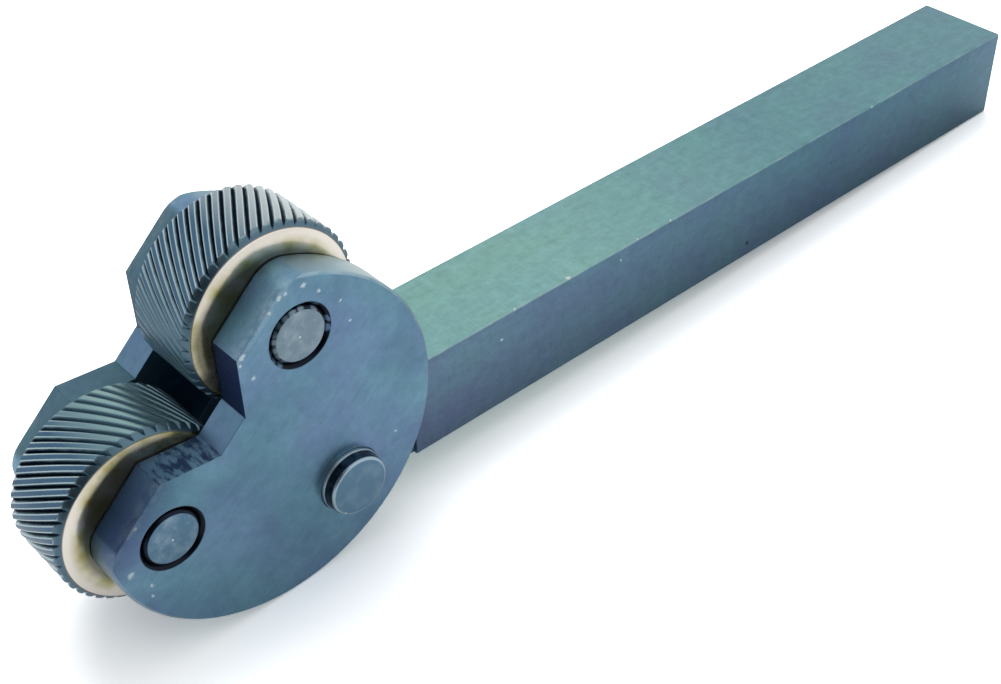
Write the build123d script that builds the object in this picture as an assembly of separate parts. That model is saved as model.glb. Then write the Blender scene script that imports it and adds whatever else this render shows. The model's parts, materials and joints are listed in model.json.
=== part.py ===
from build123d import *
import os
from math import cos, degrees, pi, radians, sin, tan

# Two-wheel knurling tool with a rocking head, in millimetres and degrees.
# +X runs along the shank to its tail, +Z is up, and the head is at the -X end.
# The origin is the middle of the face that the shank sits on in a tool post.

# Shank: a square bar, with a tongue milled on both sides at the head end
shank_length = 137.0
shank_height = 16.0
shank_width = 16.0
shank_edge_break = 0.25
shank_tail_chamfer = 0.6

# Head: a thick disc, flattened in front, slotted from both sides
head_radius = 25.0
head_width = 24.7
slot_width = 14.6
front_reach = 14.7
front_corner_radius = 5.0
head_edge_break = 0.35
web_thickness = 1.7
head_tilt = 47.5

# Notch across both cheeks, between the two wheels
notch_mouth_half = 8.6
notch_floor_half = 2.75
notch_depth = 6.4

# Knurling wheels
wheel_radius = 12.75
wheel_width = 12.5
wheel_advance = 7.65
nip_gap = 3.8
tooth_count = 46
tooth_depth = 0.7
helix_angle = 32.5
wheel_end_chamfer = 0.8
bore_chamfer = 0.4

# Pins
wheel_pin_radius = 4.0
wheel_pin_chamfer = 0.4
wheel_pin_countersink = 0.65
pivot_pin_radius = 4.5
pivot_pin_stand = 2.2
pivot_pin_round = 0.55
round_steps = 4
pivot_pin_chamfer = 0.4
pivot_countersink = 0.3

# Fits
running_clearance = 0.05
seat_clearance = 0.02
tongue_side_gap = 0.1
wheel_side_gap = 0.2
tongue_swing_gap = 0.3
wheel_pocket_gap = 0.4
stop_gap = 0.1
overrun = 1.0

# The tongue fills the slot, and the wheels run beside its near wall
tongue_width = slot_width - 2 * tongue_side_gap
wheel_middle = wheel_side_gap + (wheel_width - slot_width) / 2

# Distances in front of the pivot: tongue end, web between the slots, wheels, disc centre, flat front
tongue_end = shank_height / 2
web_back = tongue_end + tongue_swing_gap
web_front = web_back + web_thickness
wheel_ahead = web_front + wheel_pocket_gap + wheel_radius
disc_ahead = wheel_ahead - wheel_advance
front_ahead = disc_ahead + front_reach
wheel_rise = wheel_radius + nip_gap / 2

# The shank's shoulder stops the head a little above this tilt, where the rim comes down on it
rim_reach = head_radius - disc_ahead * cos(radians(head_tilt))
shoulder_reach = rim_reach + stop_gap

# Pivot in the tool's frame
pivot_x = -(shoulder_reach + shank_length / 2)
pivot_z = shank_height / 2
pivot = Pos(pivot_x, 0, pivot_z)

# The head is drawn pointing straight along -X from the pivot, and then tilted nose up
head_place = pivot * Rot(0, head_tilt, 0)


def across(profile, width):
    """A profile drawn in X and Z, as thick as width, centred on the tool's middle plane."""
    return extrude(Plane.XZ * profile, amount=width / 2, both=True)


def turned(*points):
    """A solid turned about the Y axis from points given as radius and place along Y."""
    return revolve(make_face(Polyline(*points, close=True)), axis=Axis.Y)


def hole_tool(radius, countersink, width):
    """Cutter for a hole right across a width, countersunk at both of its faces."""
    face = width / 2
    out = face + overrun
    wide = radius + countersink + overrun
    return turned(
        (0, -out),
        (wide, -out),
        (radius, -face + countersink),
        (radius, face - countersink),
        (wide, out),
        (0, out),
    )


def make_shank():
    """Square bar with a round-ended tongue that the head rocks on."""
    bar = Pos(shank_length / 2 + shoulder_reach, 0, 0) * Box(shank_length, shank_width, shank_height)
    bar = chamfer(bar.faces().sort_by(Axis.X)[-1].edges(), shank_tail_chamfer)
    bar = chamfer(bar.edges().filter_by(Axis.X), shank_edge_break)
    stem = shoulder_reach + overrun
    flat = Pos(stem / 2, 0) * Rectangle(stem, shank_height) + Circle(tongue_end)
    tongue = across(flat, tongue_width)
    bore = hole_tool(pivot_pin_radius + running_clearance, bore_chamfer, tongue_width)
    return pivot * (bar + tongue - bore)


def head_blank():
    """Thick disc with broken edges, a flat front with round corners and the notch milled across it."""
    side = 2 * (head_radius + overrun)
    circle = Pos(-disc_ahead, 0) * Circle(head_radius)
    disc = across(circle, head_width)
    disc = chamfer(disc.edges().filter_by(GeomType.CIRCLE), head_edge_break)
    front = Pos(-front_ahead - side / 2, 0) * Rectangle(side, side)
    outline = circle - front
    outline = fillet(outline.vertices().sort_by(Axis.X)[:2], front_corner_radius)
    slope = (notch_mouth_half - notch_floor_half) / notch_depth
    floor = -front_ahead + notch_depth
    lip = -front_ahead - overrun
    lip_half = notch_mouth_half + slope * overrun
    notch = make_face(
        Polyline(
            (floor, -notch_floor_half),
            (floor, notch_floor_half),
            (lip, lip_half),
            (lip, -lip_half),
            close=True,
        )
    )
    return disc & across(outline - notch, head_width)


def make_head():
    """Forked head: one slot in front for the wheels, one behind for the tongue, a web between."""
    reach = head_radius + disc_ahead + overrun
    tall = 2 * (head_radius + overrun)
    wheel_slot = Pos(-web_front - reach / 2, 0, 0) * Box(reach, slot_width, tall)
    tongue_slot = Pos(reach / 2 - web_back, 0, 0) * Box(reach, slot_width, tall)
    head = head_blank() - wheel_slot - tongue_slot
    for rise in (wheel_rise, -wheel_rise):
        pin_hole = hole_tool(wheel_pin_radius + seat_clearance, wheel_pin_countersink, head_width)
        head -= Pos(-wheel_ahead, 0, rise) * pin_hole
    head -= hole_tool(pivot_pin_radius + seat_clearance, pivot_countersink, head_width)
    return head_place * head


def tooth_outline():
    """Star-shaped section of a wheel, with a crest on each tooth and a sharp root between teeth."""
    root_radius = wheel_radius - tooth_depth
    points = []
    for tooth in range(tooth_count):
        crest = 2 * pi * tooth / tooth_count
        root = crest + pi / tooth_count
        points.append((wheel_radius * cos(crest), wheel_radius * sin(crest)))
        points.append((root_radius * cos(root), root_radius * sin(root)))
    return make_face(Polyline(*points, close=True))


def make_wheel(hand, rise):
    """Knurling wheel with helical teeth, chamfered at both ends; hand is +1 or -1."""
    start = Location((0, -wheel_width / 2, 0), (90, 0, 0))
    twist = degrees(wheel_width * tan(radians(helix_angle)) / wheel_radius)
    section = (start * tooth_outline()).faces()[0]
    teeth = Solid.extrude_linear_with_rotation(
        section,
        (0, -wheel_width / 2, 0),
        (0, wheel_width, 0),
        hand * twist,
    )
    half = wheel_width / 2
    end_radius = wheel_radius - wheel_end_chamfer
    bore_radius = wheel_pin_radius + running_clearance
    mouth_radius = bore_radius + bore_chamfer
    outer = wheel_radius + overrun
    blank = turned(
        (bore_radius, -half + bore_chamfer),
        (mouth_radius, -half),
        (end_radius, -half),
        (outer, -half + wheel_end_chamfer + overrun),
        (outer, half - wheel_end_chamfer - overrun),
        (end_radius, half),
        (mouth_radius, half),
        (bore_radius, half - bore_chamfer),
    )
    return head_place * Pos(-wheel_ahead, wheel_middle, rise) * (teeth & blank)


def make_wheel_pin(rise):
    """Plain pin, flush with both cheeks, chamfered at its ends."""
    half = head_width / 2
    nose = wheel_pin_radius - wheel_pin_chamfer
    pin = turned(
        (0, -half),
        (nose, -half),
        (wheel_pin_radius, -half + wheel_pin_chamfer),
        (wheel_pin_radius, half - wheel_pin_chamfer),
        (nose, half),
        (0, half),
    )
    return head_place * Pos(-wheel_ahead, 0, rise) * pin


def make_pivot_pin():
    """Pivot pin that stands out of the near cheek with a rounded end and is flush with the far one."""
    half = head_width / 2
    near = -half - pivot_pin_stand
    flat = pivot_pin_radius - pivot_pin_round
    points = [(0, near)]
    for step in range(round_steps + 1):
        angle = pi / 2 * step / round_steps
        points.append((flat + pivot_pin_round * sin(angle), near + pivot_pin_round * (1 - cos(angle))))
    points.append((pivot_pin_radius, half - pivot_pin_chamfer))
    points.append((pivot_pin_radius - pivot_pin_chamfer, half))
    points.append((0, half))
    return head_place * turned(*points)


def make_parts():
    """Every piece of the tool by name, each in its place."""
    return {
        "shank": make_shank(),
        "head": make_head(),
        "upper_wheel": make_wheel(1, wheel_rise),
        "lower_wheel": make_wheel(-1, -wheel_rise),
        "upper_wheel_pin": make_wheel_pin(wheel_rise),
        "lower_wheel_pin": make_wheel_pin(-wheel_rise),
        "pivot_pin": make_pivot_pin(),
    }


os.makedirs("parts", exist_ok=True)
for name, piece in make_parts().items():
    export_step(piece, os.path.join("parts", name + ".step"))
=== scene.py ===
import json
from functools import partial
from math import atan2, cos, pi, radians, sin, tan

import bmesh
import bpy
from bpy.props import FloatProperty, FloatVectorProperty, IntProperty, PointerProperty
from mathutils import Matrix, Vector


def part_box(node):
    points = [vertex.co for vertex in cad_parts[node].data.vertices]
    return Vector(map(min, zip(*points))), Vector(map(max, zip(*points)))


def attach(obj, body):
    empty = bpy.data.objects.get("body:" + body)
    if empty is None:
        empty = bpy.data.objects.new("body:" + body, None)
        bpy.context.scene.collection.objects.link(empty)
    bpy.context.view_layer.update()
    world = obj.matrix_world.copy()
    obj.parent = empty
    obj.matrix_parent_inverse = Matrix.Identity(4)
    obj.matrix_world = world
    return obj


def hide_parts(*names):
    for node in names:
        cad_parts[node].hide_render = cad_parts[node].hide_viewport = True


bl_info = {
    "name": "Two-wheel knurling tool",
    "version": (1, 0, 0),
    "blender": (4, 5, 0),
    "location": "3D View > Sidebar > Knurling tool",
    "description": "Builds the visible pieces and finishes of a knurling tool around its solid model",
    "category": "Object",
}

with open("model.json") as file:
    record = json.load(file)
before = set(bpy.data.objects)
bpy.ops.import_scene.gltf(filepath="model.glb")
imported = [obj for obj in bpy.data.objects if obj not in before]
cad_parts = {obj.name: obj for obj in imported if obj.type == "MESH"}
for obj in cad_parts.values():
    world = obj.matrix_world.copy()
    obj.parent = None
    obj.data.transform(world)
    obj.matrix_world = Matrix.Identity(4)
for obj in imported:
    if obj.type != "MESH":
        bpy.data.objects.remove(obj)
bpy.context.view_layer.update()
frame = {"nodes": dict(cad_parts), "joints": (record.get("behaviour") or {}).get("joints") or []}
MM = 0.001

# Where things are, read from the solid model: the pivot, the two wheel axes and the head's tilt
PIVOT = Vector(next(j["pos_m"] for j in frame["joints"] if j["name"] == "head_rock"))


def box_middle(node):
    """Middle of a node's box, on the tool's middle plane."""
    low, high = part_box(node)
    return Vector(((low.x + high.x) / 2, 0, (low.z + high.z) / 2))


UPPER_AXIS = box_middle("upper_wheel_pin")
LOWER_AXIS = box_middle("lower_wheel_pin")
TILT = atan2(UPPER_AXIS.x - LOWER_AXIS.x, UPPER_AXIS.z - LOWER_AXIS.z)
FORWARD = Vector((-cos(TILT), 0, sin(TILT)))
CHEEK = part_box("head")[1].y
BAR_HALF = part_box("shank")[1].y
BAR_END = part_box("shank")[1].x
WELD = 0.002 * MM

# A wheel's bore and side: how far the side is level, how far it falls to the rim, and its steps
WHEEL_BORE = 4.05 * MM
BORE_BEVEL = 0.4 * MM
LEVEL_REACH = 9.0 * MM
LEVEL_SHARE = 0.3
SIDE_FALL = 0.4 * MM
SIDE_STEPS = 10
BEVEL_STEPS = 8
TREAD_STEPS = 6
# How far past the side's rim its faces are still its own, and how far a tooth's face turns at a sharp edge
SIDE_MARGIN = 0.02 * MM
TOOTH_EDGE = radians(30)
# Share of painted highlight on each wheel's crests away from the nip, and of painted sheen on its crests
# beside the nip
UPPER_GLINT_AND_SHEEN = (0.85, 0.1)
LOWER_GLINT_AND_SHEEN = (0.0, 1.0)

# Pins: bevelled ends, and a pivot pin with a round end and a low collar
PIN_COLUMNS = 96
PIN_BEVEL = 0.4 * MM
PIN_EDGE_ROUND = 0.08 * MM
PIVOT_ROUND = 0.55 * MM
ROUND_STEPS = 6
# The collar's section, as reach beyond the pin and height above the near cheek, in mm
COLLAR = ((0, 0.55), (0.16, 0.5), (0.22, 0.42), (0.22, -0.1), (0, -0.1))
# An edge that turns more than this is rubbed round
BROKEN_EDGE = radians(28)

# The head's outline, measured from the middle of its disc: +X back to the pivot, +Z up the flat front
DISC_AHEAD = 15.5 * MM
DISC_AXIS = PIVOT + FORWARD * DISC_AHEAD
HEAD_RADIUS = 25.0 * MM
FLAT = -14.7 * MM
WHEELS_AHEAD = ((UPPER_AXIS + LOWER_AXIS) / 2 - PIVOT).length
WHEEL_PLACE = Vector((DISC_AHEAD - WHEELS_AHEAD, 0, (UPPER_AXIS - LOWER_AXIS).length / 2))
NOTCH_FLOOR = FLAT + 6.4 * MM
NOTCH_HALF = 2.75 * MM
NOTCH_SLOPE = 5.85 / 6.4

# Bright nicks on the near cheek, in mm from the middle of the disc, each with its size
CHEEK_NICKS = (
    (-14.3, 17.6, 0.9),
    (-13.7, 18.4, 0.6),
    (-11.9, 20.3, 0.85),
    (-9.2, 20.6, 0.6),
    (-14.3, 15.6, 0.6),
    (-5.0, 20.7, 0.45),
    (-1.5, 19.0, 0.5),
    (-10.7, 7.5, 0.65),
    (-14.2, 9.4, 1.0),
    (-13.8, 8.3, 0.7),
    (-14.2, -14.7, 0.6),
    (-14.3, -16.2, 0.5),
    (-10.5, -20.6, 1.0),
    (-6.3, -21.2, 0.65),
    (-5.3, -22.4, 0.55),
    (18.3, 8.4, 0.5),
)
# Punch marks round the upper wheel pin, in degrees round it and in mm
PUNCH_ANGLES = (32, 50, 96, 128, 147, 164, 181, 199, 216, 235, 252, 270)
PUNCH_SIZE = 1.15
# How far the marks lie from the pin's axis and below the cheek, in the countersink and on the pin's bevel
COUNTERSINK_REACH = 4.3
COUNTERSINK_DEPTH = 0.3
BEVEL_REACH = 3.8
BEVEL_DEPTH = 0.2

# Bright nicks on the bar's top edge and near side, and dark pits in that side, in mm from the bar's middle
BAR_NICKS = (
    (-38.7, -7.8, 16.0, 0.85),
    (-49.2, -7.9, 16.0, 0.5),
    (-24.4, -7.9, 16.0, 0.4),
    (-17.3, -7.8, 16.0, 0.5),
    (31.7, -7.9, 16.0, 0.6),
    (-52.0, -8.0, 11.9, 0.6),
    (-28.0, -8.0, 13.8, 0.45),
)
BAR_PITS = ((1.5, -8.0, 2.6, 0.8), (-4.3, -8.0, 2.2, 0.5), (22.0, -8.0, 9.0, 0.5))

# Camera, fitted to the photograph, and lamp and card, in metres and degrees
CAMERA_PLACE = (-0.16815, -0.14229, 0.15502)
CAMERA_TURN = (51.0354, 1.2555, -41.79)
LAMP_PLACE = (0.08, 0.24, 0.56)
LAMP_AIM = Vector((-0.03, 0, 0))
LAMP_SIZE = 0.5
CARD_TOWARDS = Vector((-0.63, -0.64, 0.43))
CARD_AWAY = 0.7
CARD_HALF = 0.4
FLOOR_HALF = 1.5


def linear(code):
    """Linear colour from an sRGB hex code such as #5f86a0."""
    values = [int(code[i : i + 2], 16) / 255 for i in (1, 3, 5)]
    return [v / 12.92 if v <= 0.04045 else ((v + 0.055) / 1.055) ** 2.4 for v in values] + [1.0]


def add(tree, kind, inputs=(), **settings):
    """Adds a node with its settings; inputs are values, sockets or nodes, in order or by name."""
    node = tree.nodes.new(kind)
    for name, value in settings.items():
        setattr(node, name, value)
    sockets = [socket for socket in node.inputs if socket.enabled]
    for key, value in inputs.items() if isinstance(inputs, dict) else enumerate(inputs):
        socket = sockets[key] if isinstance(key, int) else next(s for s in sockets if s.name == key)
        if isinstance(value, bpy.types.Node):
            value = next(s for s in value.outputs if s.enabled)
        if isinstance(value, bpy.types.NodeSocket):
            tree.links.new(value, socket)
        else:
            socket.default_value = value
    return node


def colour(name, description, code):
    """A colour property with an sRGB hex default."""
    return FloatVectorProperty(
        name=name, description=description, subtype="COLOR", size=4, default=linear(code), min=0, max=1
    )


def length(name, description, millimetres):
    """A length property with its default in millimetres."""
    return FloatProperty(
        name=name, description=description, unit="LENGTH", default=millimetres * MM, min=0, precision=5
    )


class BarSettings(bpy.types.PropertyGroup):
    """Finish of the square shank."""

    edge_round: length("Edge rounding", "How far the bar's edges are rubbed round", 0.12)
    # Partly a different blueing on the ground faces, partly painted light, as the top is lighter where it
    # catches the light
    top: colour("Top", "Blueing on the ground top and bottom faces", "#7aa6a4")
    top_tail: colour("Top at the tail", "Bluer blueing on top toward the tail", "#608a93")
    side: colour("Side", "Blueing on the bar's two sides", "#647f99")
    side_beyond: colour("Side beyond", "Greener blueing on the sides away from the head", "#456c83")
    side_tail: colour("Side at the tail", "Lighter blueing on the sides at the tail", "#68919f")
    pit: colour("Pit", "Dark pits in the near side", "#1c2636")
    worn: colour("Worn edge", "Bare steel where the blueing is rubbed off", "#c3d2d4")


class HeadSettings(bpy.types.PropertyGroup):
    """Finish of the forked head."""

    edge_round: length("Edge rounding", "How far the head's edges are rubbed round", 0.1)
    light: colour("Light blueing", "Blueing where it came out thin and bright", "#7099b0")
    dark: colour("Dark blueing", "Blueing where it came out thick", "#6389a2")
    # Partly thinner blueing, partly painted sheen where the turned rim is seen at a grazing angle
    rim: colour("Rim", "Thin greenish blueing on the turned rim", "#94abb0")
    # Navy used as painted shade on the notch's faces, the notch floor and the near flat front
    scale: colour("Scale", "Thick navy scale on the rough-milled faces and the flat front", "#0d2152")
    # Painted shade on the far cheek's front faces
    far: colour("Far front", "Teal blueing on the far cheek's front faces", "#44666c")
    # Painted shade in the countersunk grooves round the pins
    ring: colour("Ring", "Scale in the countersinks round the pins", "#0d1524")
    # Also used for the painted highlight on the edge between the rim and the cheeks
    worn: colour("Worn edge", "Bare steel where the blueing is rubbed off", "#b9cdd6")


class WheelSettings(bpy.types.PropertyGroup):
    """Sizes and finish of the knurling wheels."""

    teeth: IntProperty(name="Teeth", description="Number of teeth round a wheel", default=46, min=3)
    depth: length("Tooth depth", "From crest to root", 0.7)
    helix: FloatProperty(
        name="Helix", description="Angle of the teeth to the axis", subtype="ANGLE", default=radians(32.5)
    )
    land: FloatProperty(
        name="Land share",
        description="Share of the pitch that is flat crest",
        subtype="FACTOR",
        default=0.58,
        min=0,
        max=0.7,
    )
    chamfer: length("End chamfer", "Bevel at both ends of the teeth", 0.8)
    crest: colour("Crest", "Steel on the tooth crests", "#40607a")
    # Painted highlight along the edges of the crests
    edge: colour("Crest edge", "Bright steel along the edges of the crests", "#adc4ca")
    # Painted highlight on the crests away from the nip
    rubbed: colour("Rubbed crest", "Light steel on the crests away from the nip", "#c6d2d1")
    # The next two: painted sheen on the crests and their edges beside the nip
    oily_crest: colour("Oily crest", "Oil film on the crests beside the nip", "#86a6a6")
    oily_edge: colour("Oily edge", "Edges of the crests beside the nip", "#5f7d8a")
    # Partly scale and oil, partly painted shade in the grooves
    groove: colour("Groove", "Scale and oil in the grooves", "#34495f")
    # Painted sheen that fills the grooves beside the nip to nearly the crests' colour
    nip_sheen: colour("Clogged groove", "Dried oil in the grooves beside the nip", "#66838e")
    bevel: colour("Bevel", "Grey-blue bevelled ends of the teeth", "#5a7787")
    side: colour("Side", "Straw-coloured ground side", "#f8f1e6")
    stain: colour("Stain", "Green-yellow stain on the side", "#b2aa62")
    # Painted shade on the side beside the cheek
    cheek_shade: colour("Deep stain", "Dark stain on the side beside the cheek", "#2f3a3c")
    side_rim: colour("Side rim", "Dark line where the side meets the teeth", "#27323d")
    spot: colour("Oil spot", "Brown oil spots on the side", "#6b5a3c")


class PinSettings(bpy.types.PropertyGroup):
    """Finish of the three pins."""

    face: colour("Face", "Blueing on the pin ends", "#5d819a")
    bare: colour("Upper pin", "Rubbed grey end of the upper wheel pin", "#7a8f9d")
    # Painted shade on the wheel pins' bevels and flanks in the grooves round them, and the pivot pin's dark
    # streaked flank
    ring: colour("Ring", "Scale on the pins' bevels and flanks", "#131f31")
    # Also used for the painted highlights on the pivot pin's rim and collar
    worn: colour("Worn spot", "Bare steel where the blueing is rubbed off", "#b9cdd6")


class StageSettings(bpy.types.PropertyGroup):
    """Floor, light and camera."""

    floor: colour("Floor", "Paint of the floor", "#f7f8f9")
    card: colour("Card", "Dark card behind the camera", "#141a2a")
    key: FloatProperty(
        name="Key light", description="Power of the large soft lamp", unit="POWER", default=2.2, min=0
    )
    lens: FloatProperty(
        name="Lens", description="Focal length of the camera", unit="CAMERA", default=57.353, min=1
    )


def weld(bm, flat=radians(0.6)):
    """Joins the loose triangles of a copied solid and takes out the edges that lie in one plane."""
    bmesh.ops.remove_doubles(bm, verts=bm.verts, dist=WELD)
    bmesh.ops.dissolve_limit(bm, angle_limit=flat, verts=bm.verts, edges=bm.edges)


def soften(bm, edges, width):
    """Rounds some edges by a width."""
    bmesh.ops.bevel(
        bm,
        geom=edges,
        offset=width,
        offset_type="OFFSET",
        segments=2,
        profile=0.5,
        affect="EDGES",
        clamp_overlap=True,
    )


def turning(bm, angle):
    """Edges whose two faces turn more than an angle."""
    return [e for e in bm.edges if e.is_manifold and e.calc_face_angle() > angle]


def shade(bm, sharp=radians(38)):
    """Smooth faces, with a sharp edge left wherever the surface turns more than an angle."""
    for face in bm.faces:
        face.smooth = True
    for edge in bm.edges:
        edge.smooth = edge.is_manifold and edge.calc_face_angle() < sharp


def lathe(profile, columns):
    """A mesh turned about the Y axis from (radius, place) points; radius 0 closes an end."""
    bm = bmesh.new()
    ring_shade = []
    for radius, place in profile:
        if radius == 0:
            ring_shade.append([bm.verts.new((0, place, 0))])
        else:
            ring_shade.append([bm.verts.new((radius * cos(a), place, radius * sin(a))) for a in columns])
    count = len(columns)
    for before, after in zip(ring_shade, ring_shade[1:]):
        for i in range(count):
            corners = [before[i % len(before)], before[(i + 1) % len(before)]]
            corners += [after[(i + 1) % len(after)], after[i % len(after)]]
            bm.faces.new(list(dict.fromkeys(corners)))
    return bm


def placed(bm, axis, middle=0.0):
    """Moves a mesh drawn round the Y axis to an axis of the tilted head."""
    bm.transform(Matrix.Translation(axis + Vector((0, middle, 0))) @ Matrix.Rotation(TILT, 4, "Y"))
    bmesh.ops.recalc_face_normals(bm, faces=bm.faces)


def new_object(name, bm, materials=()):
    """A scene object from a finished mesh."""
    mesh = bpy.data.meshes.new(name)
    bm.to_mesh(mesh)
    bm.free()
    for material in materials:
        mesh.materials.append(material)
    made = bpy.data.objects.new(name, mesh)
    bpy.context.scene.collection.objects.link(made)
    return made


def bake(piece):
    """Replaces a piece's mesh by what its modifiers make of it, and takes them off."""
    graph = bpy.context.evaluated_depsgraph_get()
    made = bpy.data.meshes.new_from_object(piece.evaluated_get(graph), depsgraph=graph)
    made.name = piece.name
    piece.modifiers.clear()
    piece.data = made


def make_piece(name, bm, materials, body, node):
    """Turns a finished mesh into a piece that rides on its body and stands for its solid."""
    piece = new_object(name, bm, materials)
    weighted = piece.modifiers.new("Even shading", "WEIGHTED_NORMAL")
    weighted.keep_sharp = True
    bake(piece)
    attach(piece, body)
    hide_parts(node)


def new_material(name):
    """An empty node material, its tree and a function that adds nodes to it."""
    material = bpy.data.materials.new(name)
    material.use_nodes = True
    tree = material.node_tree
    tree.nodes.clear()
    return material, partial(add, tree)


def maths(node, operation, *values):
    """One step of arithmetic on numbers, sockets or nodes."""
    return node("ShaderNodeMath", values, operation=operation)


def blend(node, share, under, over):
    """One colour laid over another in a share from 0 to 1."""
    return node("ShaderNodeMix", (share, under, over), data_type="RGBA")


def local_place(node, centre):
    """Object coordinates measured from a centre, along and across the tilted head."""
    place = node("ShaderNodeTexCoord").outputs["Object"]
    inputs = {"Vector": place, "Location": centre, "Rotation": (0, TILT, 0)}
    return node("ShaderNodeMapping", inputs, vector_type="TEXTURE")


def grains(node, place, sizes, detail=2.0, rough=0.5):
    """Noise whose grains are as long as the three sizes in millimetres."""
    scaled = node("ShaderNodeVectorMath", (place, [1 / (size * MM) for size in sizes]), operation="MULTIPLY")
    return node("ShaderNodeTexNoise", {"Vector": scaled, "Scale": 1.0, "Detail": detail, "Roughness": rough})


def from_axis(node, place):
    """Distance of a place from the Y axis."""
    flat = node("ShaderNodeVectorMath", (place, (1, 0, 1)), operation="MULTIPLY")
    return node("ShaderNodeVectorMath", (flat,), operation="LENGTH")


def torn(node, place, amount):
    """A place shifted about by fine noise, in millimetres, so that a spot gets a ragged edge."""
    scaled = node("ShaderNodeVectorMath", (place, [1 / (0.7 * MM)] * 3), operation="MULTIPLY")
    noise = node("ShaderNodeTexNoise", {"Vector": scaled, "Scale": 1.0, "Detail": 3.0})
    shift = node("ShaderNodeVectorMath", (noise.outputs["Color"], (0.5, 0.5, 0.5)), operation="SUBTRACT")
    return node("ShaderNodeVectorMath", (shift, [2 * amount * MM] * 3, place), operation="MULTIPLY_ADD")


def spots(node, place, centres):
    """Small ragged spots at given places, as (x, y, z, size) in millimetres."""
    ragged = torn(node, place, 0.45)
    found = 0.0
    for *centre, size in centres:
        gap = node("ShaderNodeVectorMath", (ragged, [c * MM for c in centre]), operation="DISTANCE")
        spot = node("ShaderNodeMapRange", (gap, size * 0.55 * MM, size * 0.25 * MM))
        found = maths(node, "MAXIMUM", spot, found)
    return found


def punches(reach, depth, centre):
    """The punch marks at a reach from a pin's centre and a depth below the near cheek, in millimetres."""
    found = []
    for angle in PUNCH_ANGLES:
        out = centre / MM + Vector((reach * cos(radians(angle)), 0, reach * sin(radians(angle))))
        found.append((out.x, depth - CHEEK / MM, out.z, PUNCH_SIZE))
    return found


def nicks(node, place, spacing, size, share):
    """Small dents, of a size in a cell of the spacing, in a share of the cells."""
    ragged = torn(node, place, size / 2)
    scaled = node("ShaderNodeVectorMath", (ragged, [1 / (spacing * MM)] * 3), operation="MULTIPLY")
    cells = node("ShaderNodeTexVoronoi", {"Vector": scaled, "Scale": 1.0})
    wide = size / spacing
    near = node("ShaderNodeMapRange", (cells.outputs["Distance"], wide * 0.5, wide * 0.35))
    chance = node("ShaderNodeSeparateColor", (cells.outputs["Color"],))
    picked = maths(node, "LESS_THAN", chance, share)
    return maths(node, "MULTIPLY", near, picked)


def steel_shader(node, finish, lines, dents, metallic=0.8, roughness=0.34):
    """Satin sheen of steel, with fine lines and small dents in it, linked to the output."""
    relief = maths(node, "SUBTRACT", lines, dents)
    bump = node("ShaderNodeBump", {"Height": relief, "Strength": 0.25, "Distance": 0.03 * MM})
    sheen = node("ShaderNodeMapRange", (lines, 0.2, 0.8, roughness - 0.05, roughness + 0.05))
    inputs = {"Base Color": finish, "Roughness": sheen, "Normal": bump, "Metallic": metallic}
    shader = node("ShaderNodeBsdfPrincipled", inputs)
    node("ShaderNodeOutputMaterial", (shader,))
    return shader


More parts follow.
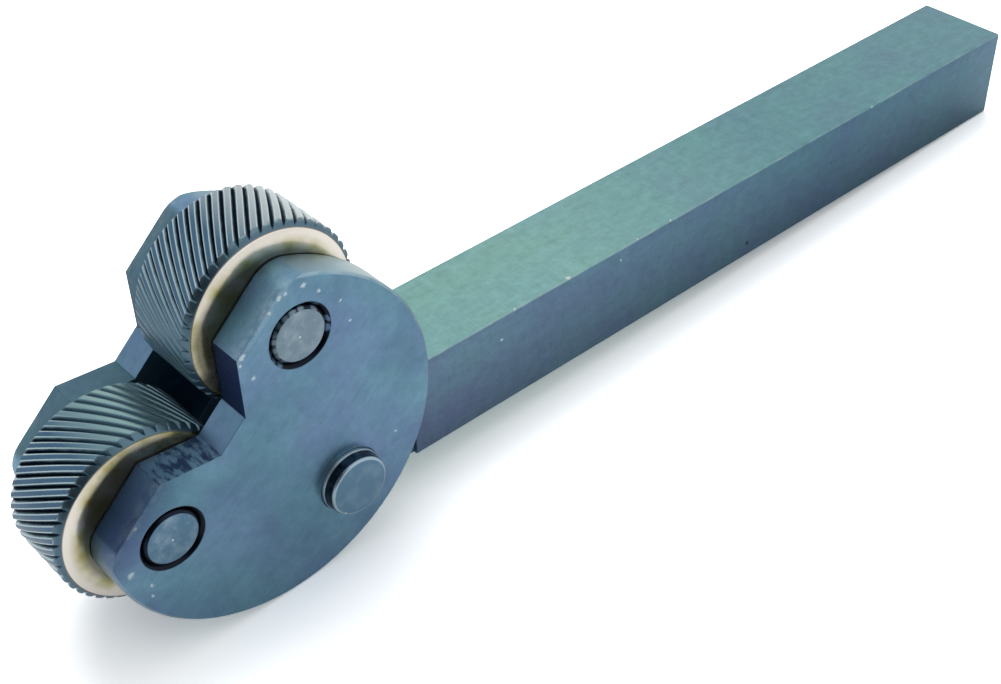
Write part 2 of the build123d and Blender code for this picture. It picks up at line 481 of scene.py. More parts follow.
def bar_steel(settings):
    """Cold-drawn bar, ground across and hot-blued: satin, green on top, slate at the sides, bare edges."""
    material, node = new_material("hot_blued_ground_bar_steel")
    coordinates = node("ShaderNodeTexCoord")
    place = coordinates.outputs["Object"]
    normal = node("ShaderNodeSeparateXYZ", (coordinates.outputs["Normal"],))
    steep = maths(node, "ABSOLUTE", normal.outputs["Z"])
    lit_top_share = node("ShaderNodeMapRange", (steep, 0.3, 0.7))
    split = node("ShaderNodeSeparateXYZ", (place,))
    # The blueing turns from green near the head to blue at the tail
    along = node("ShaderNodeMapRange", (split.outputs["X"], -0.035, 0.012))
    top = blend(node, along, settings.top, settings.top_tail)
    # The sides turn greener away from the head and lighter again at the tail, and are painted darker low
    # down: painted shade, where they mirror the bar's shadow on the floor
    beyond = node("ShaderNodeMapRange", (split.outputs["X"], -62 * MM, 20 * MM))
    slate = blend(node, beyond, settings.side, settings.side_beyond)
    tail = node("ShaderNodeMapRange", (split.outputs["X"], 57 * MM, 67 * MM, 0.0, 0.4))
    side = blend(node, tail, slate, settings.side_tail)
    # Painted shade: darker low on the bar, where its sides mirror its shadow on the floor
    height = node("ShaderNodeMapRange", (split.outputs["Z"], 1 * MM, 14 * MM, 0.77, 1.03))
    # Top and bottom faces take the top colour: partly a different blueing, partly painted light, the top
    # lighter where it catches the light
    base = blend(node, lit_top_share, side, top)
    # Grinding lines run across the bar, drawn 0.6 mm apart, because finer ones wouldn't show
    lines = grains(node, place, (0.6, 9, 9))
    mottle = grains(node, place, (2.2, 1.6, 1.6), 5.0, 0.75)
    clouds = grains(node, place, (14, 9, 9), 3.0)
    hue = node("ShaderNodeMapRange", (clouds, 0.3, 0.7, 0.475, 0.52))
    fine = node("ShaderNodeMapRange", (lines, 0.25, 0.75, 0.95, 1.05))
    broad = node("ShaderNodeMapRange", (mottle, 0.3, 0.7, 0.84, 1.16))
    grained = maths(node, "MULTIPLY", fine, broad)
    tone = maths(node, "MULTIPLY", grained, height)
    shaded = node("ShaderNodeHueSaturation", {"Hue": hue, "Value": tone, "Color": base})
    # Distance from the nearest long edge, in the section of the bar
    beside = maths(node, "ABSOLUTE", split.outputs["Y"])
    level = maths(node, "SUBTRACT", split.outputs["Z"], BAR_HALF)
    above = maths(node, "ABSOLUTE", level)
    out = maths(node, "ADD", beside, above)
    corner = node("ShaderNodeMapRange", (out, 2 * BAR_HALF - 0.34 * MM, 2 * BAR_HALF - 0.2 * MM))
    rub = node("ShaderNodeMapRange", (grains(node, place, (7, 2, 2), 4.0, 0.7), 0.38, 0.7, 0.0, 0.6))
    end = node("ShaderNodeMapRange", (split.outputs["X"], BAR_END - 0.65 * MM, BAR_END - 0.5 * MM))
    short = maths(node, "LESS_THAN", split.outputs["X"], BAR_END - 0.03 * MM)
    bevel = maths(node, "MULTIPLY", end, short)
    corners = maths(node, "MAXIMUM", corner, bevel)
    edge = maths(node, "MULTIPLY", corners, rub)
    small = nicks(node, place, 9.0, 0.45, 0.1)
    chips = maths(node, "MAXIMUM", small, spots(node, place, BAR_NICKS))
    bright = maths(node, "MAXIMUM", edge, chips)
    rubbed = blend(node, bright, shaded, settings.worn)
    pits = spots(node, place, BAR_PITS)
    finish = blend(node, pits, rubbed, settings.pit)
    dents = maths(node, "MAXIMUM", chips, pits)
    steel_shader(node, finish, lines, dents)
    return material


def head_steel(settings):
    """Milled and ground steel, hot-blued: satin blue with faint lines across it, bare at rubbed edges."""
    material, node = new_material("hot_blued_milled_head_steel")
    place = local_place(node, DISC_AXIS)
    split = node("ShaderNodeSeparateXYZ", (place,))
    # Grinding lines run across the head, drawn 0.5 mm apart, because finer ones wouldn't show
    lines = grains(node, place, (0.5, 6, 8))
    clouds = grains(node, place, (11, 8, 11), 2.0)
    patch = node("ShaderNodeMapRange", (clouds, 0.35, 0.65))
    blued = blend(node, patch, settings.dark, settings.light)
    hue = node("ShaderNodeMapRange", (grains(node, place, (14, 9, 9)), 0.35, 0.7, 0.49, 0.53))
    fine = node("ShaderNodeMapRange", (lines, 0.25, 0.75, 0.95, 1.05))
    spotty = grains(node, place, (1.6, 1.2, 1.6), 5.0, 0.75)
    mottle = node("ShaderNodeMapRange", (spotty, 0.3, 0.7, 0.88, 1.12))
    tone = maths(node, "MULTIPLY", fine, mottle)
    shaded = node("ShaderNodeHueSaturation", {"Hue": hue, "Value": tone, "Color": blued})
    # The turned rim is painted lighter and greyer: partly thinner blueing, partly painted sheen where the rim
    # is seen at a grazing angle
    reach = from_axis(node, place)
    turned = node("ShaderNodeMapRange", (reach, HEAD_RADIUS - 0.12 * MM, HEAD_RADIUS - 0.06 * MM))
    # The rim's lighter paint fades toward the corners of the flat front
    behind = node("ShaderNodeMapRange", (split.outputs["X"], -14 * MM, -4 * MM, 0.1, 1.0))
    rim_sheen = maths(node, "MULTIPLY", turned, behind)
    body = blend(node, rim_sheen, shaded, settings.rim)
    # Edge between the rim and the cheeks, painted bright: partly rubbed wear, partly painted highlight where
    # the edge catches the light
    outward = maths(node, "ABSOLUTE", split.outputs["Y"])
    sum_out = maths(node, "ADD", reach, outward)
    corner = HEAD_RADIUS + CHEEK
    rim_edge_glint = node("ShaderNodeMapRange", (sum_out, corner - 0.42 * MM, corner - 0.34 * MM))
    rub = node("ShaderNodeMapRange", (grains(node, place, (3.5, 1.5, 3.5), 4.0, 0.6), 0.35, 0.7, 0.25, 0.8))
    edge = maths(node, "MULTIPLY", rim_edge_glint, rub)
    near_cheek = [(x, -CHEEK / MM, z, size) for x, z, size in CHEEK_NICKS]
    small = nicks(node, place, 6.0, 0.5, 0.08)
    chips = maths(node, "MAXIMUM", small, spots(node, place, near_cheek))
    # Patchy wear along the front flat's outer edges
    ahead = node("ShaderNodeMapRange", (split.outputs["X"], FLAT + 1.1 * MM, FLAT + 0.1 * MM))
    beside = node("ShaderNodeMapRange", (outward, CHEEK - 2.2 * MM, CHEEK - 0.2 * MM))
    front = maths(node, "MULTIPLY", ahead, beside)
    patches = grains(node, place, (1.2, 1.2, 1.8), 4.0, 0.7)
    patchy = node("ShaderNodeMapRange", (patches, 0.42, 0.68, 0.0, 0.6))
    filed = maths(node, "MULTIPLY", front, patchy)
    worn_edges = maths(node, "MAXIMUM", edge, filed)
    bright = maths(node, "MAXIMUM", worn_edges, chips)
    rubbed = blend(node, bright, body, settings.worn)
    # Painted shade in the countersinks round the two wheel pins and the pivot, where the grooves lie in
    # shadow
    upright = maths(node, "ABSOLUTE", split.outputs["Z"])
    folded = node("ShaderNodeCombineXYZ", {"X": split.outputs["X"], "Z": upright})
    ring_shade = 0.0
    for centre, radius in ((WHEEL_PLACE, 4.64 * MM), (Vector((DISC_AHEAD, 0, 0)), 4.8 * MM)):
        gap = node("ShaderNodeVectorMath", (folded, centre), operation="DISTANCE")
        ring = node("ShaderNodeMapRange", (gap, radius + 0.06 * MM, radius - 0.06 * MM))
        ring_shade = maths(node, "MAXIMUM", ring, ring_shade)
    # Punch marks show bright in the upper ring on the near side
    marks = spots(node, place, punches(COUNTERSINK_REACH, COUNTERSINK_DEPTH, WHEEL_PLACE))
    left = maths(node, "MULTIPLY_ADD", marks, -0.75, 1.0)
    above = maths(node, "GREATER_THAN", split.outputs["Z"], 0.0)
    ring_shade_share = maths(node, "MULTIPLY", ring_shade, left)
    # The two sloping faces of the notch are rough-milled, in steps about 0.7 mm apart
    depth = maths(node, "SUBTRACT", NOTCH_FLOOR, split.outputs["X"])
    slope = maths(node, "MULTIPLY_ADD", depth, NOTCH_SLOPE, NOTCH_HALF)
    off = maths(node, "SUBTRACT", upright, slope)
    close = maths(node, "ABSOLUTE", off)
    facet = node("ShaderNodeMapRange", (close, 0.12 * MM, 0.06 * MM))
    inside = maths(node, "GREATER_THAN", depth, -0.2 * MM)
    milled = maths(node, "MULTIPLY", facet, inside)
    chatter = grains(node, place, (0.9, 2.2, 0.9), 3.0, 0.6)
    # Painted shade and reflection on the notch's faces: dark mostly on the near cheek, where they mirror dark
    # surroundings, evenly dark on the upper face, which lies in shade, and in rough-milled patches on the
    # lower face
    near = node("ShaderNodeMapRange", (split.outputs["Y"], 0.4 * CHEEK, -0.4 * CHEEK, 0.1, 1.0))
    even = node("ShaderNodeMapRange", (chatter, 0.42, 0.6, 0.0, 0.85))
    steps = node("ShaderNodeMix", (above, even, 0.92))
    rough = maths(node, "MULTIPLY", steps, near)
    scaled = maths(node, "MULTIPLY", milled, rough)
    # The notch's floor is painted a little darker, and the near cheek's flat front dark low on the head:
    # painted shade, where the head shades its lower flat and the flat mirrors the dark teeth
    floor_gap = maths(node, "ABSOLUTE", depth)
    floor_face = node("ShaderNodeMapRange", (floor_gap, 0.1 * MM, 0.05 * MM, 0.0, 0.28))
    between = maths(node, "LESS_THAN", upright, NOTCH_HALF + 0.05 * MM)
    low = maths(node, "MULTIPLY", floor_face, between)
    face = node("ShaderNodeMapRange", (split.outputs["X"], FLAT + 0.3 * MM, FLAT + 0.05 * MM))
    depths = node("ShaderNodeMapRange", (split.outputs["Z"], -15 * MM, 6 * MM, 0.75, 0.0))
    sides = node("ShaderNodeMapRange", (split.outputs["Y"], 0.2 * CHEEK, -0.2 * CHEEK, 0.0, 1.0))
    share = maths(node, "MULTIPLY", depths, sides)
    front_shade = maths(node, "MULTIPLY", face, share)
    # Painted shade over the cheek's first few millimetres behind the flat front, low on the head
    beside_face = (split.outputs["X"], FLAT + 4.5 * MM, FLAT + 0.3 * MM, 0.0, 0.5)
    beside_flat = node("ShaderNodeMapRange", beside_face)
    lower = node("ShaderNodeMapRange", (split.outputs["Z"], 0.0, -9 * MM))
    beneath = maths(node, "MULTIPLY", beside_flat, lower)
    shadow = maths(node, "MULTIPLY", beneath, sides)
    faces = maths(node, "MAXIMUM", front_shade, low)
    flat_shade = maths(node, "MAXIMUM", faces, shadow)
    dark = maths(node, "MAXIMUM", scaled, flat_shade)
    # The far cheek's front faces are painted a darker blue-green: painted shade
    fronted = maths(node, "MAXIMUM", milled, face)
    far = node("ShaderNodeMapRange", (split.outputs["Y"], 0.2 * CHEEK, 0.5 * CHEEK, 0.0, 0.6))
    far_front_shade = maths(node, "MULTIPLY", fronted, far)
    far_shaded = blend(node, far_front_shade, rubbed, settings.far)
    shade_painted = blend(node, dark, far_shaded, settings.scale)
    finish = blend(node, ring_shade_share, shade_painted, settings.ring)
    shader = steel_shader(node, finish, lines, chips)
    cuts = maths(node, "MULTIPLY", milled, chatter)
    dull = node("ShaderNodeMapRange", (fronted, 0.0, 1.0, 0.34, 0.65))
    gloss = node("ShaderNodeMapRange", (lines, 0.2, 0.8, -0.04, 0.04))
    material.node_tree.links.new(maths(node, "ADD", dull, gloss).outputs[0], shader.inputs["Roughness"])
    fine = shader.inputs["Normal"].links[0].from_socket
    bump = node("ShaderNodeBump", {"Height": cuts, "Strength": 0.7, "Distance": 0.2 * MM, "Normal": fine})
    material.node_tree.links.new(bump.outputs["Normal"], shader.inputs["Normal"])
    return material


def tooth_steel(settings, axis, crest, near, nip, wear, name):
    """Hardened tool steel with hobbed teeth: satin crests with painted highlights on their edges and on the
    crests away from the nip, and the grooves painted dark, partly scale and oil, partly painted shade.
    """
    material, node = new_material(name)
    glint_share, nip_sheen_share = wear
    place = local_place(node, axis)
    depth = maths(node, "SUBTRACT", crest, from_axis(node, place))
    coarse = grains(node, place, (1.5, 1.5, 1.5), 3.0)
    grime = node("ShaderNodeMapRange", (coarse, 0.3, 0.7, -0.08 * MM, 0.08 * MM))
    low = maths(node, "ADD", depth, grime)
    grain = grains(node, place, (0.8, 0.8, 0.8), 3.0)
    tone = node("ShaderNodeMapRange", (grains(node, place, (4, 4, 4)), 0.3, 0.7, 0.88, 1.12))
    worn = node("ShaderNodeHueSaturation", {"Value": tone, "Color": settings.crest})
    # Painted sheen beside the nip: the grooves are painted nearly the colour of the crests, the crest edges
    # dimmer and the crests lighter, as the teeth there show an even sheen
    along = node("ShaderNodeSeparateXYZ", (place,))
    toward = maths(node, "MULTIPLY", along.outputs["Z"], nip)
    nip_sheen = node("ShaderNodeMapRange", (toward, 1 * MM, 8 * MM))
    groove_scale_and_shade = blend(node, nip_sheen, settings.groove, settings.nip_sheen)
    bright = blend(node, nip_sheen, settings.edge, settings.oily_edge)
    # Painted highlight: thin bright lines along the edges of the crests
    edge_glint = node("ShaderNodeMapRange", (depth, 0.028 * MM, 0.045 * MM))
    nip_crest_sheen = node("ShaderNodeMapRange", (toward, 3 * MM, 9 * MM, 0.0, nip_sheen_share))
    crests = blend(node, nip_crest_sheen, worn, settings.oily_crest)
    glinted = blend(node, edge_glint, crests, bright)
    # The grooves are painted darker with depth: partly scale and oil, partly painted shade
    down = node("ShaderNodeMapRange", (low, 0.12 * MM, 0.4 * MM))
    # Painted highlight: on the side away from the nip the crests are painted light, by each wheel's share,
    # most on the upper wheel
    rubbed = node("ShaderNodeMapRange", (toward, -5 * MM, -12.5 * MM, 0.0, glint_share))
    lighter = blend(node, rubbed, glinted, settings.rubbed)
    grooved = blend(node, down, lighter, groove_scale_and_shade)
    # The bevelled ends of the teeth are an even grey-blue
    ragged = maths(node, "MULTIPLY_ADD", grime, 4.0, along.outputs["Y"])
    ends = node("ShaderNodeMapRange", (ragged, near + 1.4 * MM, near + 1.05 * MM, 0.0, 0.85))
    finish = blend(node, ends, grooved, settings.bevel)
    steel_shader(node, finish, grain, nicks(node, place, 4.0, 0.5, 0.12), 0.85, 0.32)
    return material


def side_steel(settings, axis, nip, name):
    """Ground side of a hardened wheel: bright pale straw, greener inwards, with oil spots, a dark rim and
    painted shade beside the cheek.
    """
    material, node = new_material(name)
    place = local_place(node, axis)
    reach = from_axis(node, place)
    # The stain and the painted shade beside the cheek spread outwards beside the nip
    along = node("ShaderNodeSeparateXYZ", (place,))
    toward = maths(node, "MULTIPLY", along.outputs["Z"], nip)
    spread = node("ShaderNodeMapRange", (toward, -4 * MM, 7 * MM, 0.0, 2.1 * MM))
    inner = maths(node, "SUBTRACT", reach, spread)
    inward = node("ShaderNodeMapRange", (inner, 11.2 * MM, 9.9 * MM))
    cloud = node("ShaderNodeMapRange", (grains(node, place, (3, 3, 3), 3.0), 0.35, 0.7, 0.3, 1.0))
    stain = maths(node, "MULTIPLY", inward, cloud)
    straw = blend(node, stain, settings.side, settings.stain)
    # Painted shade and reflection: the side is painted dark beside the cheek, where the cheek shades it and
    # the side mirrors the head's flat front
    cheek_shade = node("ShaderNodeMapRange", (inner, 10.0 * MM, 9.0 * MM, 0.0, 0.7))
    lined = blend(node, cheek_shade, straw, settings.cheek_shade)
    rim = node("ShaderNodeMapRange", (reach, 11.76 * MM, 11.86 * MM, 0.0, 0.8))
    stained = blend(node, rim, lined, settings.side_rim)
    oil = nicks(node, place, 1.6, 0.35, 0.2)
    finish = blend(node, oil, stained, settings.spot)
    steel_shader(node, finish, grains(node, place, (0.6, 0.6, 0.6)), oil, 0.8, 0.22)
    return material


def pin_steel(settings, name, face, axis, radius, punched):
    """Turned and blued pin: satin end rubbed in spots, painted shade on its bevelled edge and flank, in the
    groove round the pin.
    """
    material, node = new_material(name)
    place = local_place(node, axis)
    grain = grains(node, place, (0.5, 0.5, 0.5), 3.0)
    patch = node("ShaderNodeMapRange", (grains(node, place, (1.5, 1.5, 1.5), 4.0, 0.7), 0.45, 0.75, 0.0, 0.4))
    dents = nicks(node, place, 2.6, 0.45, 0.35)
    lit = maths(node, "MAXIMUM", dents, patch)
    rubbed = blend(node, lit, face, settings.worn)
    # Painted shade on the pin's bevel and flank, in the groove round the pin
    edge = node("ShaderNodeMapRange", (from_axis(node, place), radius - 0.45 * MM, radius - 0.37 * MM))
    punch_marks = spots(node, place, punches(BEVEL_REACH, BEVEL_DEPTH, Vector()))
    marks = maths(node, "MULTIPLY_ADD", punch_marks, -punched, 1.0)
    ring = maths(node, "MULTIPLY", edge, marks)
    finish = blend(node, ring, rubbed, settings.ring)
    steel_shader(node, finish, grain, dents)
    return material


def pivot_steel(settings, radius, collar):
    """Turned and blued pivot pin: satin domed end, with painted highlights on its rounded rim and on its
    collar's outer edge.
    """
    material, node = new_material("turned_blued_pivot_pin")
    place = local_place(node, PIVOT)
    grain = grains(node, place, (0.5, 0.5, 0.5), 3.0)
    patch = node("ShaderNodeMapRange", (grains(node, place, (3, 3, 3)), 0.5, 0.75, 0.0, 0.25))
    dents = nicks(node, place, 2.6, 0.45, 0.3)
    lit = maths(node, "MAXIMUM", dents, patch)
    face = blend(node, lit, settings.face, settings.worn)
    reach = from_axis(node, place)
    # The pivot pin's flank is painted dark in streaks
    streaks = node("ShaderNodeMapRange", (grains(node, place, (1.2, 3, 1.2), 4.0, 0.7), 0.35, 0.65, 0.6, 1.0))
    beyond = node("ShaderNodeMapRange", (reach, radius - 0.1 * MM, radius - 0.03 * MM))
    flank = maths(node, "MULTIPLY", beyond, streaks)
    flanked = blend(node, flank, face, settings.ring)
    # Painted highlight on the pin's rounded rim and on its collar's edge, where they catch the light
    rim_glint_in = node("ShaderNodeMapRange", (reach, radius - 0.45 * MM, radius - 0.35 * MM))
    rim_glint_out = node("ShaderNodeMapRange", (reach, radius - 0.04 * MM, radius - 0.12 * MM))
    rim = maths(node, "MULTIPLY", rim_glint_in, rim_glint_out)
    edge_glint = node("ShaderNodeMapRange", (reach, collar - 0.12 * MM, collar - 0.06 * MM))
    bright = maths(node, "MAXIMUM", rim, edge_glint)
    share = maths(node, "MULTIPLY", bright, 0.7)
    finish = blend(node, share, flanked, settings.worn)
    steel_shader(node, finish, grain, dents, 0.8, 0.3)
    return material


def tooth_tree():
    """Node tree that cuts helical teeth into a turned blank whose axis is Y."""
    tree = bpy.data.node_groups.new("Helical teeth", "GeometryNodeTree")
    face = tree.interface
    face.new_socket(name="Blank", in_out="INPUT", socket_type="NodeSocketGeometry")
    for name in ("Crest radius", "Depth", "Land share", "Twist per length", "Side radius"):
        face.new_socket(name=name, in_out="INPUT", socket_type="NodeSocketFloat")
    face.new_socket(name="Teeth", in_out="INPUT", socket_type="NodeSocketInt")
    face.new_socket(name="Tooth steel", in_out="INPUT", socket_type="NodeSocketMaterial")
    face.new_socket(name="Side steel", in_out="INPUT", socket_type="NodeSocketMaterial")
    face.new_socket(name="Wheel", in_out="OUTPUT", socket_type="NodeSocketGeometry")
    node = partial(add, tree)
    given = node("NodeGroupInput").outputs
    place = node("GeometryNodeInputPosition")
    split = node("ShaderNodeSeparateXYZ", (place,)).outputs
    angle = maths(node, "ARCTAN2", split["Z"], split["X"])
    pitches = maths(node, "DIVIDE", given["Teeth"], 2 * pi)
    tooth = maths(node, "MULTIPLY", angle, pitches)
    phase = maths(node, "FRACT", tooth)
    # How far from the nearest crest, 0 at a crest and 1 at a root
    from_root = maths(node, "SUBTRACT", phase, 0.5)
    half = maths(node, "ABSOLUTE", from_root)
    from_crest = maths(node, "MULTIPLY_ADD", half, -2.0, 1.0)
    flank = node("ShaderNodeMapRange", (from_crest, given["Land share"], 1.0))
    # The crest is crowned a little, and then the flank falls to the root
    crowned = node("ShaderNodeMapRange", (from_crest, 0.0, given["Land share"]))
    crown = maths(node, "POWER", crowned, 2.0)
    share = node("ShaderNodeMix", (flank, 0.09, 1.0))
    edge = maths(node, "MULTIPLY", crown, share)
    fall = maths(node, "MULTIPLY", edge, given["Depth"])
    surface = maths(node, "SUBTRACT", given["Crest radius"], fall)
    kept = maths(node, "MINIMUM", from_axis(node, place), surface)
    twist = maths(node, "MULTIPLY_ADD", split["Y"], given["Twist per length"], angle)
    across = maths(node, "COSINE", twist)
    rise = maths(node, "SINE", twist)
    around = node("ShaderNodeCombineXYZ", {"X": across, "Z": rise})
    scaled = node("ShaderNodeVectorMath", {"Vector": around, "Scale": kept}, operation="SCALE")
    along = node("ShaderNodeCombineXYZ", {"Y": split["Y"]})
    moved = node("ShaderNodeVectorMath", (scaled, along), operation="ADD")
    cut = node("GeometryNodeSetPosition", {"Geometry": given["Blank"], "Position": moved})
    real = node("GeometryNodeRealizeInstances", (cut,))
    toothed = node("GeometryNodeSetMaterial", {"Geometry": real, "Material": given["Tooth steel"]})
    inner = maths(node, "LESS_THAN", from_axis(node, place), given["Side radius"])
    inputs = {"Geometry": toothed, "Selection": inner, "Material": given["Side steel"]}
    sided = node("GeometryNodeSetMaterial", inputs)
    node("NodeGroupOutput", (sided,))
    return tree


def make_wheel(tree, settings, name, axis, hand, wear, node):
    """One knurling wheel: a turned blank with helical teeth cut by the node tree."""
    low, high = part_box(node)
    crest = (high.x - low.x) / 2
    half = (high.y - low.y) / 2
    end = crest - settings.chamfer
    body = half - SIDE_FALL - settings.chamfer
    # The ground side falls away in a soft curve to the rim, and the teeth are bevelled beyond it
    side = [(WHEEL_BORE, -half + BORE_BEVEL), (WHEEL_BORE + BORE_BEVEL, -half)]
    for i in range(SIDE_STEPS + 1):
        share = i / SIDE_STEPS
        curve = max(0, share - LEVEL_SHARE) ** 2 / (1 - LEVEL_SHARE) ** 2
        side.append((LEVEL_REACH + (end - LEVEL_REACH) * share, -half + SIDE_FALL * curve))
    for i in range(1, BEVEL_STEPS + 1):
        out = settings.chamfer * i / BEVEL_STEPS
        side.append((end + out, -half + SIDE_FALL + out))
    profile = side + [(crest, body * (i / TREAD_STEPS - 1)) for i in range(1, 2 * TREAD_STEPS)]
    profile += [(r, -place) for r, place in reversed(side)] + [side[0]]
    # Columns stand close together at the crest's edges and down in the root, as shares of a tooth
    edge = settings.land / 2
    rising = (0, edge / 2, edge, edge + 0.02, 0.36, 0.46, 0.5)
    shares = rising + tuple(1 - share for share in reversed(rising[1:-1]))
    teeth = range(settings.teeth)
    columns = [2 * pi * (tooth + share) / settings.teeth for tooth in teeth for share in shares]
    bm = lathe(profile, columns)
    bmesh.ops.remove_doubles(bm, verts=bm.verts, dist=WELD)
    bmesh.ops.recalc_face_normals(bm, faces=bm.faces)
    blank = new_object(name, bm)
    cutter = blank.modifiers.new("Teeth", "NODES")
    cutter.node_group = tree
    sockets = {item.name: item.identifier for item in tree.interface.items_tree if item.in_out == "INPUT"}
    cutter[sockets["Crest radius"]] = crest
    cutter[sockets["Depth"]] = settings.depth
    cutter[sockets["Land share"]] = settings.land
    cutter[sockets["Twist per length"]] = -hand * tan(settings.helix) / crest
    cutter[sockets["Side radius"]] = end + SIDE_MARGIN
    cutter[sockets["Teeth"]] = settings.teeth
    tread = tooth_steel(settings, axis, crest, low.y, -hand, wear, "hobbed_tool_steel_" + name)
    cutter[sockets["Tooth steel"]] = tread
    cutter[sockets["Side steel"]] = side_steel(settings, axis, -hand, "ground_tool_steel_" + name)
    bake(blank)
    bm = bmesh.new()
    bm.from_mesh(blank.data)
    materials = list(blank.data.materials)
    bpy.data.objects.remove(blank)
    placed(bm, axis, (low.y + high.y) / 2)
    shade(bm, TOOTH_EDGE)
    make_piece(name + "_piece", bm, materials, node, node)


class OBJECT_OT_knurling_shank(bpy.types.Operator):
    """Square bar with rubbed edges"""

    bl_idname = "object.knurling_shank"
    bl_label = "Shank"

    def execute(self, context):
        settings = context.scene.knurling_bar
        bm = bmesh.new()
        bm.from_mesh(frame["nodes"]["shank"].data)
        weld(bm)
        soften(bm, turning(bm, BROKEN_EDGE), settings.edge_round)
        shade(bm)
        make_piece("shank_bar", bm, [bar_steel(settings)], "shank", "shank")
        return {"FINISHED"}


class OBJECT_OT_knurling_head(bpy.types.Operator):
    """Forked head with rubbed edges"""

    bl_idname = "object.knurling_head"
    bl_label = "Head"

    def execute(self, context):
        settings = context.scene.knurling_head
        bm = bmesh.new()
        bm.from_mesh(frame["nodes"]["head"].data)
        weld(bm)
        soften(bm, turning(bm, BROKEN_EDGE), settings.edge_round)
        shade(bm)
        make_piece("head_fork", bm, [head_steel(settings)], "head", "head")
        return {"FINISHED"}


class OBJECT_OT_knurling_wheels(bpy.types.Operator):
    """Upper and lower knurling wheels, of opposite hands"""

    bl_idname = "object.knurling_wheels"
    bl_label = "Knurling wheels"

    def execute(self, context):
        settings = context.scene.knurling_wheels
        tree = tooth_tree()
        make_wheel(tree, settings, "upper", UPPER_AXIS, 1, UPPER_GLINT_AND_SHEEN, "upper_wheel")
        make_wheel(tree, settings, "lower", LOWER_AXIS, -1, LOWER_GLINT_AND_SHEEN, "lower_wheel")
        return {"FINISHED"}


class OBJECT_OT_knurling_pins(bpy.types.Operator):
    """Two wheel pins and the pivot pin with its low collar"""

    bl_idname = "object.knurling_pins"
    bl_label = "Pins"

    def execute(self, context):
        settings = context.scene.knurling_pins
        circle = [2 * pi * i / PIN_COLUMNS for i in range(PIN_COLUMNS)]
        # Each wheel pin's axis, the colour of its end and how far its punch marks show
        ends = (
            ("upper_wheel_pin", UPPER_AXIS, settings.bare, 0.8),
            ("lower_wheel_pin", LOWER_AXIS, settings.face, 0.0),
        )
        for node, axis, face, punched in ends:
            low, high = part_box(node)
            radius, half = (high.x - low.x) / 2, high.y
            profile = [(0, -half), (radius - PIN_BEVEL, -half), (radius, -half + PIN_BEVEL)]
            profile += [(r, -place) for r, place in reversed(profile)]
            bm = lathe(profile, circle)
            placed(bm, axis)
            soften(bm, turning(bm, BROKEN_EDGE), PIN_EDGE_ROUND)
            shade(bm)
            steel = pin_steel(settings, "turned_blued_" + node, face, axis, radius, punched)
            make_piece(node + "_piece", bm, [steel], "head", node)
        low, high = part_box("pivot_pin")
        radius = (high.x - low.x) / 2
        collar = radius + max(out for out, height in COLLAR) * MM
        profile = [(0, low.y)]
        for i in range(ROUND_STEPS + 1):
            angle = pi / 2 * i / ROUND_STEPS
            profile.append((radius - PIVOT_ROUND * (1 - sin(angle)), low.y + PIVOT_ROUND * (1 - cos(angle))))
        profile += [(radius + out * MM, -CHEEK - height * MM) for out, height in COLLAR]
        profile += [(radius, high.y - PIN_BEVEL), (radius - PIN_BEVEL, high.y), (0, high.y)]
        bm = lathe(profile, circle)
        placed(bm, PIVOT)
        shade(bm)
        steel = pivot_steel(settings, radius, collar)
        make_piece("pivot_pin_piece", bm, [steel], "head", "pivot_pin")
        return {"FINISHED"}


class SCENE_OT_knurling_stage(bpy.types.Operator):
    """Pale floor, soft light and the camera"""

    bl_idname = "scene.knurling_stage"
    bl_label = "Stage"

    def execute(self, context):
        settings = context.scene.knurling_stage
        scene = context.scene
        scene.view_settings.view_transform = "Standard"
        # The tool lies on the head's rim and on the lower edge of its tail
        tail = Vector((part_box("shank")[1].x, 0, 0))
        span = DISC_AXIS - tail
        slope = atan2(span.z, -span.x) - atan2(HEAD_RADIUS, (span.length_squared - HEAD_RADIUS**2) ** 0.5)
        bm = bmesh.new()
        bmesh.ops.create_grid(bm, x_segments=1, y_segments=1, size=FLOOR_HALF)
        bm.transform(Matrix.Translation(tail) @ Matrix.Rotation(slope, 4, "Y"))
        new_object("floor", bm, [floor_paint(settings)])
        # A dark card behind the camera, which the faces turned to it reflect
        towards = CARD_TOWARDS.normalized()
        bm = bmesh.new()
        bmesh.ops.create_grid(bm, x_segments=1, y_segments=1, size=CARD_HALF)
        turn = towards.to_track_quat("Z", "Y").to_matrix().to_4x4()
        bm.transform(Matrix.Translation(UPPER_AXIS + towards * CARD_AWAY) @ turn)
        card_paint, node = new_material("matt_black_card")
        node("ShaderNodeOutputMaterial", (node("ShaderNodeBsdfDiffuse", {"Color": settings.card}),))
        card = new_object("dark_card", bm, [card_paint])
        card.visible_camera = False
        make_world(scene)
        lamp = bpy.data.lights.new("key_lamp", "AREA")
        lamp.energy = settings.key
        lamp.size = LAMP_SIZE
        lamp_object = bpy.data.objects.new("key_lamp", lamp)
        lamp_object.location = LAMP_PLACE
        aim = LAMP_AIM - lamp_object.location
        lamp_object.rotation_euler = aim.to_track_quat("-Z", "Y").to_euler()
        lamp_object.visible_glossy = False
        scene.collection.objects.link(lamp_object)
        camera = bpy.data.cameras.new("camera")
        camera.lens = settings.lens
        camera.sensor_width = 36
        camera.clip_start = 0.01
        camera_object = bpy.data.objects.new("camera", camera)
        camera_object.location = CAMERA_PLACE
        camera_object.rotation_euler = [radians(angle) for angle in CAMERA_TURN]
        scene.collection.objects.link(camera_object)
        scene.camera = camera_object
        return {"FINISHED"}


def seen(node):
    """1 for the rays of the camera, of reflections and through glass, and 0 for those that only light."""
    rays = node("ShaderNodeLightPath").outputs
    mirrored = maths(node, "MAXIMUM", rays["Is Camera Ray"], rays["Is Glossy Ray"])
    return maths(node, "MAXIMUM", mirrored, rays["Is Transmission Ray"])


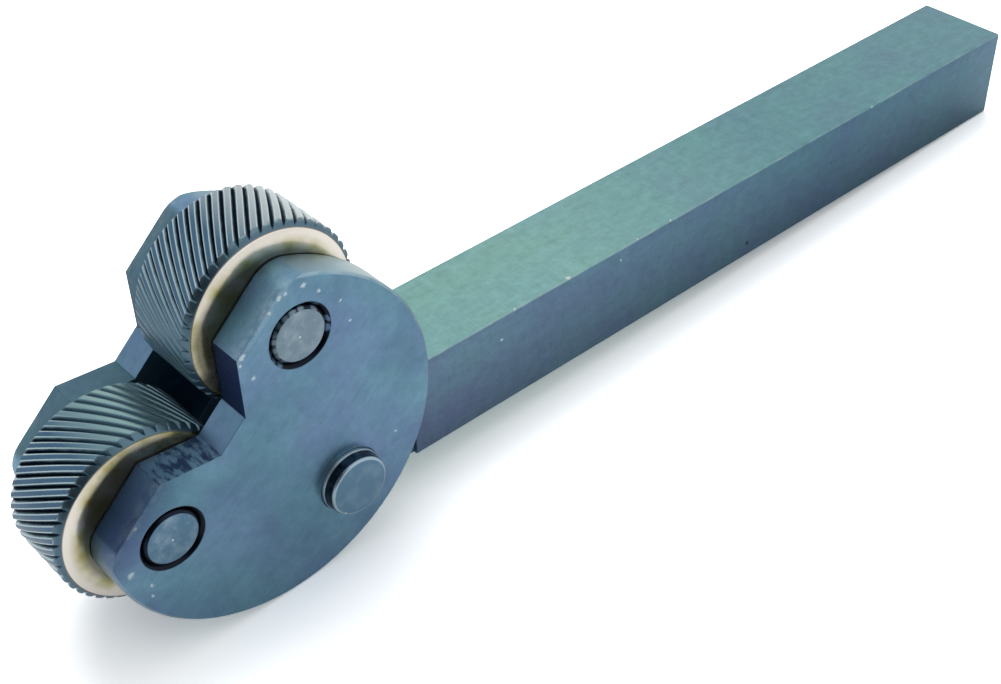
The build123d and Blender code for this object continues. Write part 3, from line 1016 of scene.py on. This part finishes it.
def floor_paint(settings):
    """Matt painted board: pale, bright enough to the camera to come out white, with its soft shadow kept."""
    material, node = new_material("matt_painted_board")
    rays = node("ShaderNodeLightPath").outputs
    lift = node("ShaderNodeMapRange", (rays["Is Camera Ray"], 0.0, 1.0, 1.0, 2.0))
    tint = node("ShaderNodeVectorMath", {"Vector": settings.floor[:3], "Scale": lift}, operation="SCALE")
    paint = node("ShaderNodeBsdfDiffuse", {"Color": tint})
    glow = node("ShaderNodeMapRange", (seen(node), 0.0, 1.0, 0.0, 0.15))
    lit = node("ShaderNodeEmission", {"Color": settings.floor, "Strength": glow})
    node("ShaderNodeOutputMaterial", (node("ShaderNodeAddShader", (paint, lit)),))
    return material


def make_world(scene):
    """White for the camera and for reflections, a little dimmer as light."""
    world = bpy.data.worlds.new("studio")
    scene.world = world
    world.use_nodes = True
    world.node_tree.nodes.clear()
    node = partial(add, world.node_tree)
    strength = node("ShaderNodeMapRange", (seen(node), 0.0, 1.0, 0.6, 1.0))
    backdrop = node("ShaderNodeBackground", {"Color": (1, 1, 1, 1), "Strength": strength})
    node("ShaderNodeOutputWorld", (backdrop,))


OPERATORS = (
    OBJECT_OT_knurling_shank,
    OBJECT_OT_knurling_head,
    OBJECT_OT_knurling_wheels,
    OBJECT_OT_knurling_pins,
    SCENE_OT_knurling_stage,
)
SETTINGS = {
    "knurling_bar": BarSettings,
    "knurling_head": HeadSettings,
    "knurling_wheels": WheelSettings,
    "knurling_pins": PinSettings,
    "knurling_stage": StageSettings,
}


class VIEW3D_PT_knurling_tool(bpy.types.Panel):
    """Settings and build buttons of the knurling tool"""

    bl_label = "Knurling tool"
    bl_space_type = "VIEW_3D"
    bl_region_type = "UI"
    bl_category = "Knurling tool"

    def draw(self, context):
        for (name, group), operator in zip(SETTINGS.items(), OPERATORS):
            box = self.layout.box()
            for prop in group.__annotations__:
                box.prop(getattr(context.scene, name), prop)
            box.operator(operator.bl_idname)


def register():
    for group in SETTINGS.values():
        bpy.utils.register_class(group)
    for name, group in SETTINGS.items():
        setattr(bpy.types.Scene, name, PointerProperty(type=group))
    for operator in OPERATORS:
        bpy.utils.register_class(operator)
    bpy.utils.register_class(VIEW3D_PT_knurling_tool)


def unregister():
    bpy.utils.unregister_class(VIEW3D_PT_knurling_tool)
    for operator in reversed(OPERATORS):
        bpy.utils.unregister_class(operator)
    for name in SETTINGS:
        delattr(bpy.types.Scene, name)
    for group in reversed(SETTINGS.values()):
        bpy.utils.unregister_class(group)


def main():
    register()
    bpy.ops.object.knurling_shank()
    bpy.ops.object.knurling_head()
    bpy.ops.object.knurling_wheels()
    bpy.ops.object.knurling_pins()
    bpy.ops.scene.knurling_stage()


if __name__ == "__main__":
    main()
